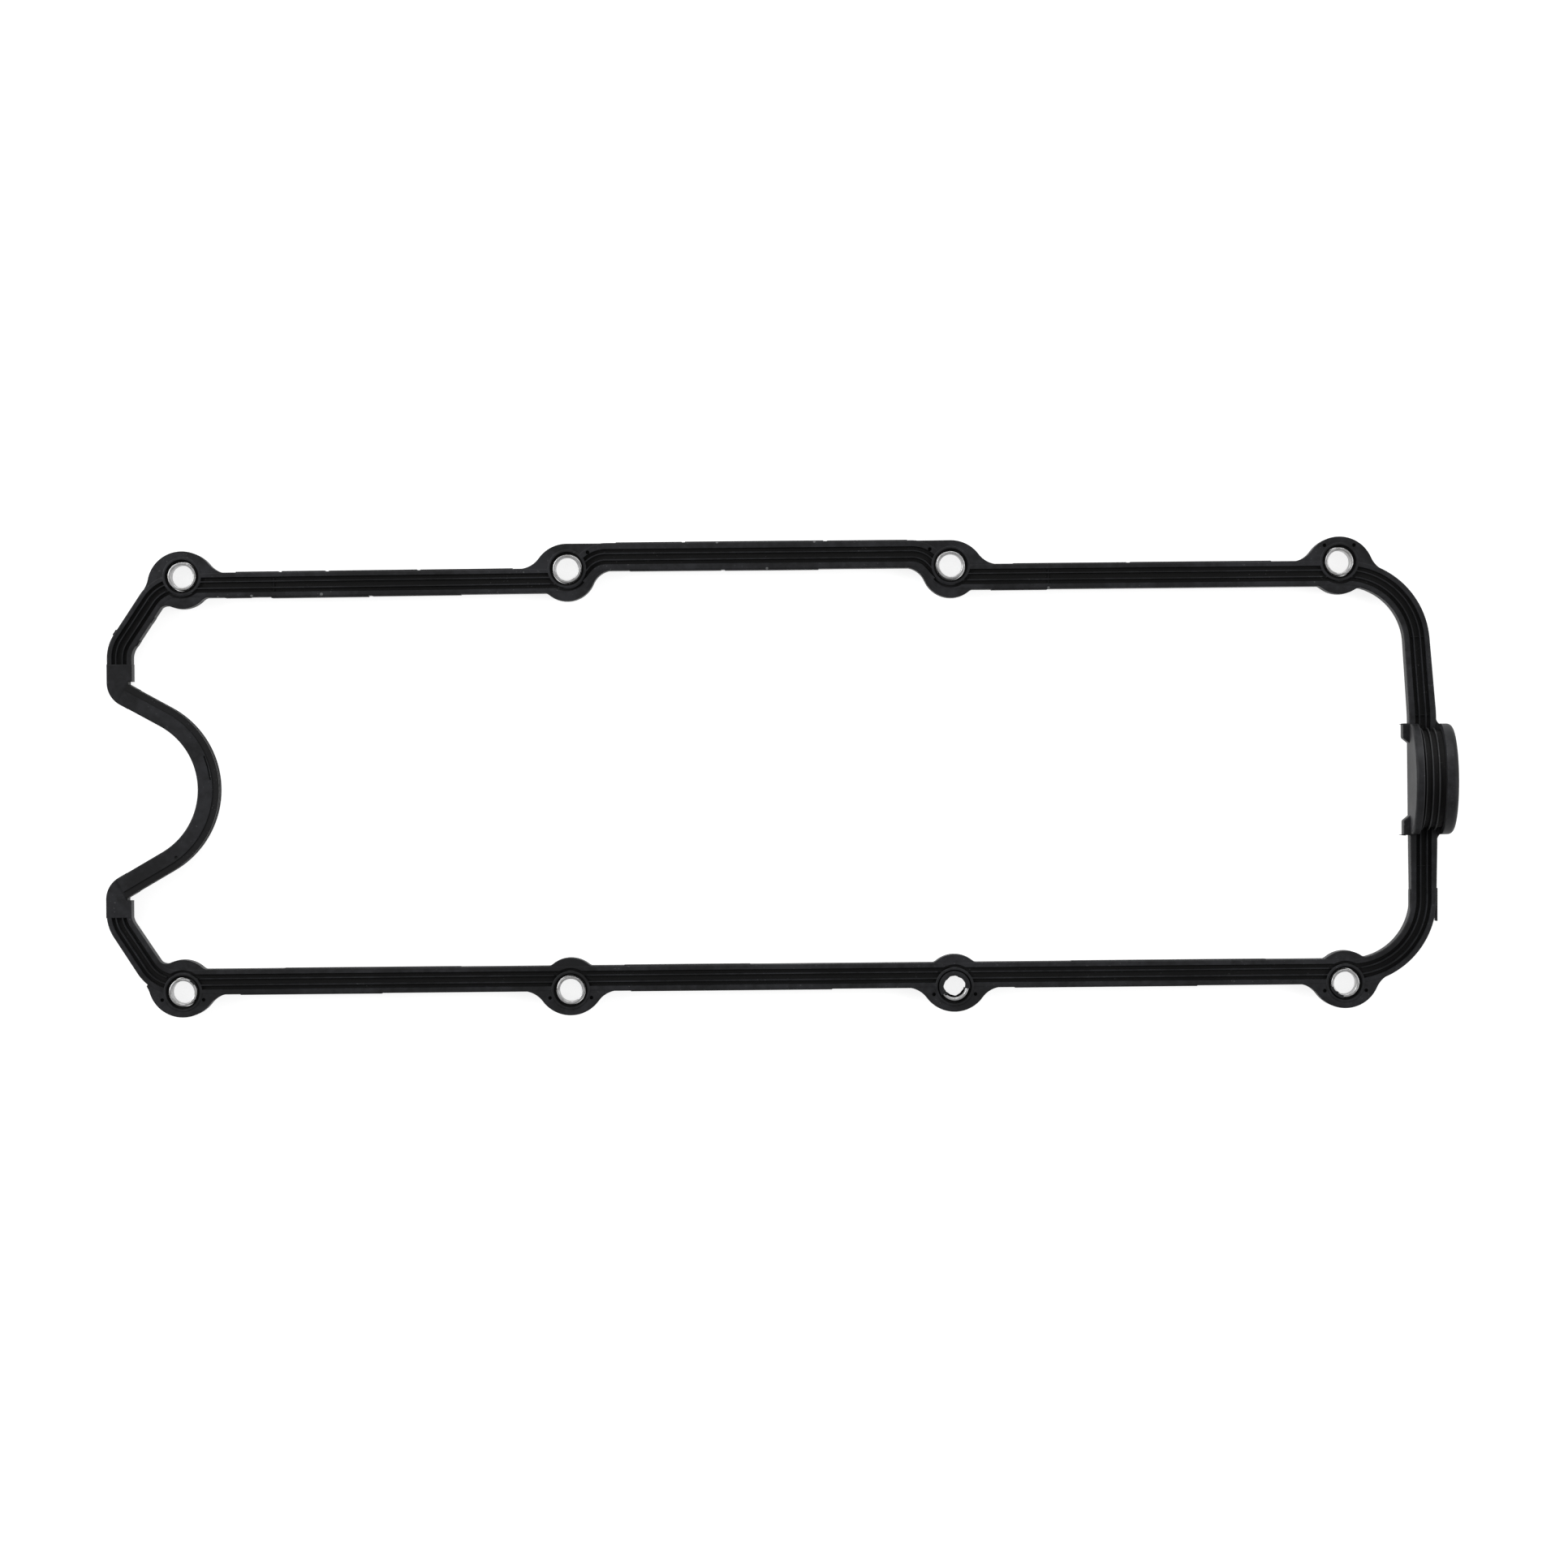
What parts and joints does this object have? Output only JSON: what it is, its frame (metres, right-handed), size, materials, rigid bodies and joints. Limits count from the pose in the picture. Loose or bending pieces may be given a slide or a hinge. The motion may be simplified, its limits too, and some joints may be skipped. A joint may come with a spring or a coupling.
{
  "type": "valve cover gasket",
  "caption": "Moulded rubber gasket that seals a valve cover to a cylinder head, with metal bolt sleeves, an arch and a half-moon plug for the camshaft ends.",
  "frame": {"origin": "middle of the bounding box on the cover-side face, on which the gasket lies", "axes": "+X runs along the engine from the arch to the half-moon plug, +Y across it to the jogged bolt row, +Z towards the cylinder head"},
  "size_m": [0.428, 0.1499, 0.0245],
  "materials": {
    "black_rubber": "moulded black rubber, semi-matte with a faint cool sheen",
    "plated_steel": "bright turned and plated steel"
  },
  "bodies": {
    "root": {"gasket_body": "black_rubber", "compression_sleeve_1": "plated_steel", "compression_sleeve_2": "plated_steel", "compression_sleeve_3": "plated_steel", "compression_sleeve_4": "plated_steel", "compression_sleeve_5": "plated_steel", "compression_sleeve_6": "plated_steel", "compression_sleeve_7": "plated_steel", "compression_sleeve_8": "plated_steel"}
  },
  "joints": []
}
